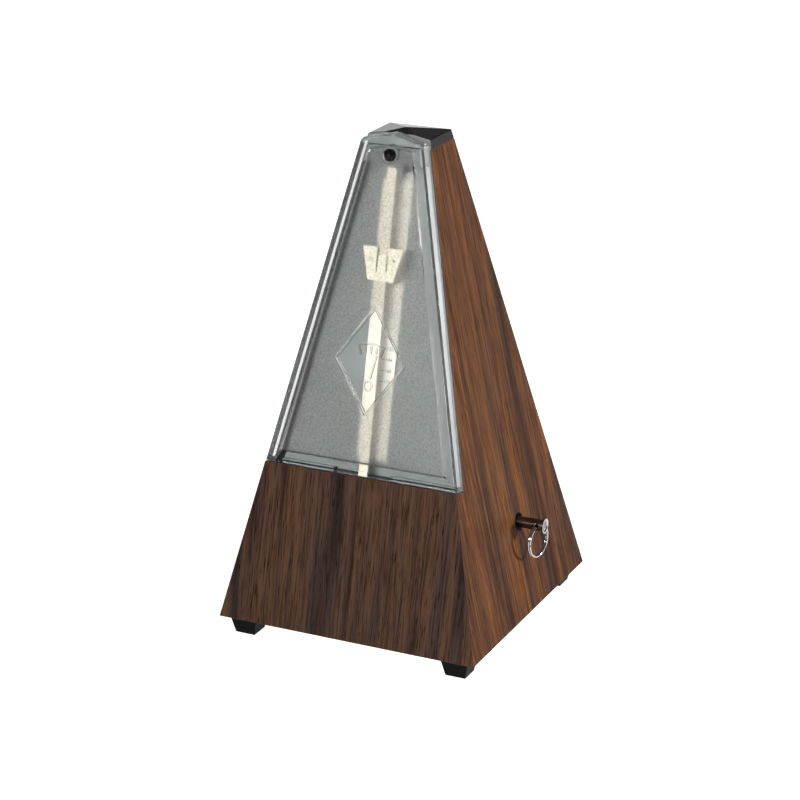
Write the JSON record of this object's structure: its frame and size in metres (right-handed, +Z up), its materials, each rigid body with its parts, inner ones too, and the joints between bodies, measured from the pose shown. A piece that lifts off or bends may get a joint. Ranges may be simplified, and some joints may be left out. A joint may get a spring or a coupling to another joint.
{
  "type": "pyramid metronome",
  "caption": "Wind-up pyramid metronome in a walnut veneer casing, with a frosted push-fit front cover, sliding-weight pendulum, clockwork and a side winding key with a ring.",
  "frame": {"origin": "on the floor under the middle of the whole object's box; the winding key makes that box wider on the right, so the casing's middle plane is at x = -1.8 mm", "axes": "+Z up, the front with the cover faces -Y, the winding key stands out on +X"},
  "size_m": [0.1254, 0.1246, 0.2209],
  "materials": {
    "walnut": "walnut veneer, satin lacquer",
    "black_gloss": "gloss black moulding",
    "raw_board": "unfinished board",
    "foot_rubber": "matt black rubber",
    "screw_steel": "zinc plated",
    "black_plastic": "matt black moulding",
    "grey_board": "smooth mid grey",
    "cream_scale": "cream with printed numbers",
    "frosted_clear": "clear moulding, frosted field, polished rim",
    "cream_enamel": "cream enamel",
    "weight_enamel": "cream enamel",
    "arbor_steel": "polished steel",
    "bob_iron": "bare cast iron",
    "spring_steel": "blued spring steel",
    "movement_brass": "satin brass",
    "bracket_steel": "zinc plated",
    "key_steel": "dark polished steel",
    "ring_chrome": "chrome plated wire"
  },
  "bodies": {
    "casing": {"front_panel": "walnut", "back_panel": "walnut", "left_panel": "walnut", "right_panel": "walnut", "top_cap": "black_gloss", "cover_stud": "black_gloss", "base_plate": "raw_board", "corner_blocks": "raw_board", "rear_right_foot": "foot_rubber", "front_right_foot": "foot_rubber", "rear_left_foot": "foot_rubber", "front_left_foot": "foot_rubber", "foot_screws": "screw_steel", "base_screws": "screw_steel", "pillar_screws": "screw_steel", "bracket_screws": "screw_steel", "bridge_screws": "screw_steel", "click_screw": "screw_steel", "ledge_plate": "black_plastic", "inner_board": "grey_board", "top_bracket": "grey_board", "rod_rest": "grey_board", "scale_plate": "cream_scale", "click_spring": "spring_steel", "left_frame_plate": "movement_brass", "right_frame_plate": "movement_brass", "frame_pillars": "movement_brass", "front_bridge": "movement_brass", "rear_bridge": "movement_brass", "escape_cock": "movement_brass", "left_bracket": "bracket_steel", "right_bracket": "bracket_steel"},
    "cover": {"front_cover": "frosted_clear"},
    "pendulum": {"pendulum_rod": "cream_enamel", "pendulum_arbor": "arbor_steel", "pendulum_hub": "movement_brass", "counterweight": "bob_iron", "front_pallet": "arbor_steel", "rear_pallet": "arbor_steel"},
    "tempo_weight": {"tempo_weight_front": "weight_enamel", "tempo_weight_back": "weight_enamel", "weight_rivets": "weight_enamel"},
    "barrel": {"barrel": "movement_brass", "barrel_lid": "movement_brass", "mainspring": "spring_steel"},
    "intermediate": {"intermediate_pinion": "arbor_steel", "intermediate_wheel": "movement_brass"},
    "escape": {"escape_pinion": "arbor_steel", "escape_wheel": "movement_brass"},
    "winder": {"winding_arbor": "arbor_steel", "ratchet_wheel": "arbor_steel", "key_shaft": "key_steel"},
    "ring": {"key_ring": "ring_chrome"},
    "click": {"click": "arbor_steel"}
  },
  "joints": [
    {"name": "cover_hinge", "type": "hinge", "parent": "casing", "child": "cover", "pos_m": [-0.0018, -0.04629, 0.0781], "axis": [1, 0, 0], "range_deg": [0, 100]},
    {"name": "pendulum_swing", "type": "hinge", "parent": "casing", "child": "pendulum", "pos_m": [-0.0018, -0.04596, 0.06161], "axis": [0, 0.9747, -0.2233], "range_deg": [-28, 28]},
    {"name": "weight_slide", "type": "slide", "parent": "pendulum", "child": "tempo_weight", "axis": [0, 0.2233, 0.9747], "range_m": [-0.067, 0.023]},
    {"name": "barrel_spin", "type": "hinge", "parent": "casing", "child": "barrel", "pos_m": [0.0102, 0.006, 0.0475], "axis": [1, 0, 0], "continuous": true},
    {"name": "intermediate_spin", "type": "hinge", "parent": "casing", "child": "intermediate", "pos_m": [-0.0018, -0.01544, 0.04173], "axis": [1, 0, 0], "continuous": true},
    {"name": "escape_spin", "type": "hinge", "parent": "casing", "child": "escape", "pos_m": [-0.0138, -0.02062, 0.0558], "axis": [1, 0, 0], "continuous": true},
    {"name": "winding", "type": "hinge", "parent": "casing", "child": "winder", "pos_m": [0.0382, 0.006, 0.0475], "axis": [1, 0, 0], "continuous": true},
    {"name": "ring_swing", "type": "hinge", "parent": "winder", "child": "ring", "pos_m": [0.0593, 0.006, 0.0475], "axis": [-0.1564, -0.9877, 0], "range_deg": [-16, 120]},
    {"name": "click_rock", "type": "hinge", "parent": "casing", "child": "click", "pos_m": [0.0255, -0.003, 0.0565], "axis": [1, 0, 0], "range_deg": [0, 12]}
  ],
  "couplings": [
    {"joint": "pendulum_swing", "follows": "cover_hinge", "ratio": 0.28},
    {"joint": "intermediate_spin", "follows": "barrel_spin", "ratio": -6.4},
    {"joint": "escape_spin", "follows": "barrel_spin", "ratio": 32}
  ]
}
